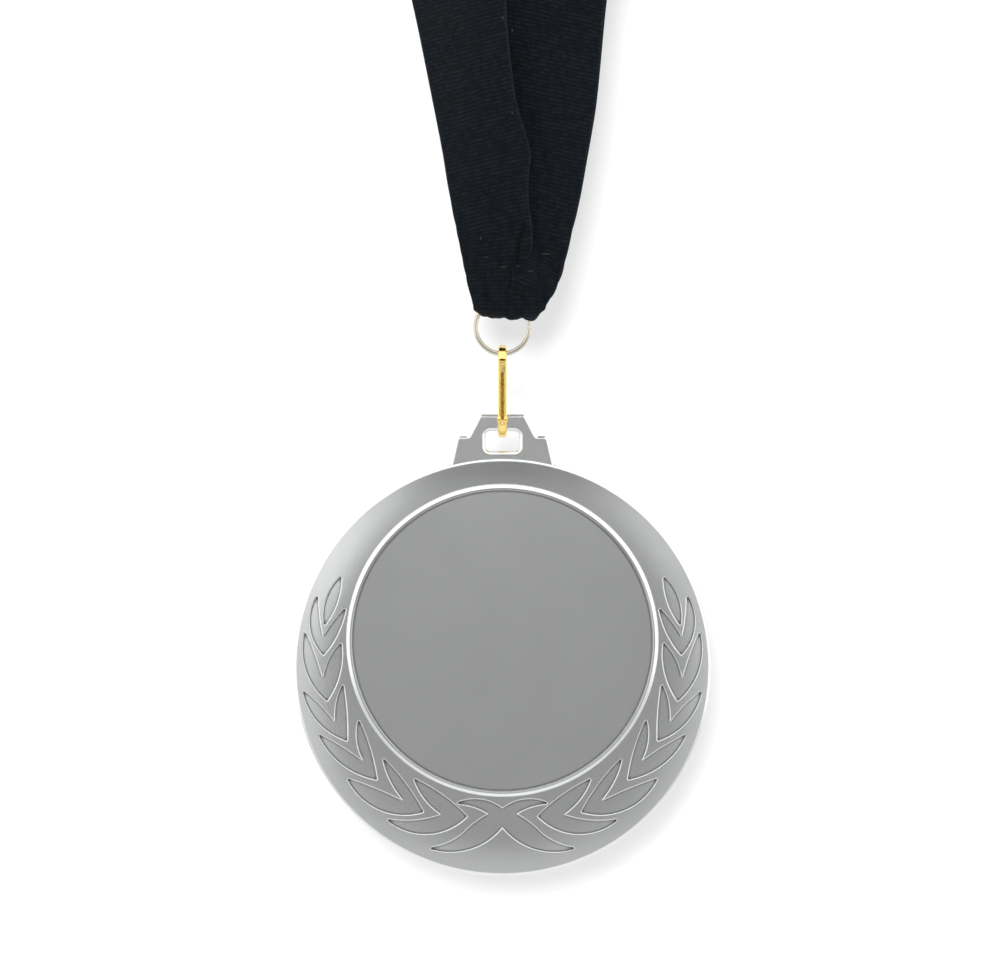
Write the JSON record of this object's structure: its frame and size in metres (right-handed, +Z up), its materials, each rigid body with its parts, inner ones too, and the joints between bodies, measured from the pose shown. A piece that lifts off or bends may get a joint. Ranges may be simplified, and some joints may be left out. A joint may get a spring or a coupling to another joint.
{
  "type": "sports medal on a neck ribbon",
  "caption": "Round prize medal with a laurel wreath and an empty emblem recess, hanging by a gate clip and a ring from a neck ribbon.",
  "frame": {"origin": "inside of the ribbon loop at its highest point, where a neck or a peg carries it", "axes": "+Z up along the hanging medal, -Y out of the medal's front, +X to the right seen from the front"},
  "size_m": [0.113, 0.022, 0.4834],
  "materials": {
    "satin_nickel": "satin nickel plated zinc die-casting",
    "gold_plate": "bright gold plate",
    "spring_brass": "plain spring brass",
    "bright_nickel": "bright nickel plate",
    "black_ribbon": "ribbed black polyester ribbon",
    "black_thread": "black polyester thread"
  },
  "bodies": {
    "ribbon": {"neck_ribbon": "black_ribbon", "hem_stitching": "black_thread"},
    "ring": {"ribbon_ring": "bright_nickel"},
    "clip": {"clip_body": "gold_plate", "gate_rivet": "gold_plate"},
    "gate": {"clip_gate": "gold_plate", "gate_spring": "spring_brass"},
    "medal": {"medal_body": "satin_nickel"}
  },
  "joints": [
    {"name": "ring_swing", "type": "hinge", "parent": "ribbon", "child": "ring", "pos_m": [0, 0, -0.38763], "axis": [1, 0, 0], "range_deg": [-25, 25]},
    {"name": "clip_swing", "type": "hinge", "parent": "ring", "child": "clip", "pos_m": [0, 0, -0.39083], "axis": [0, 1, 0], "range_deg": [-60, 60]},
    {"name": "medal_swing", "type": "hinge", "parent": "clip", "child": "medal", "pos_m": [0, 0, -0.40764], "axis": [1, 0, 0], "range_deg": [-45, 45]},
    {"name": "gate_hinge", "type": "hinge", "parent": "clip", "child": "gate", "pos_m": [0, -0.00285, -0.40641], "axis": [-1, 0, 0], "range_deg": [0, 20], "stiffness_Nm_per_rad": 0.004, "springref_deg": -17.19, "deforming": ["gate_spring"]}
  ]
}
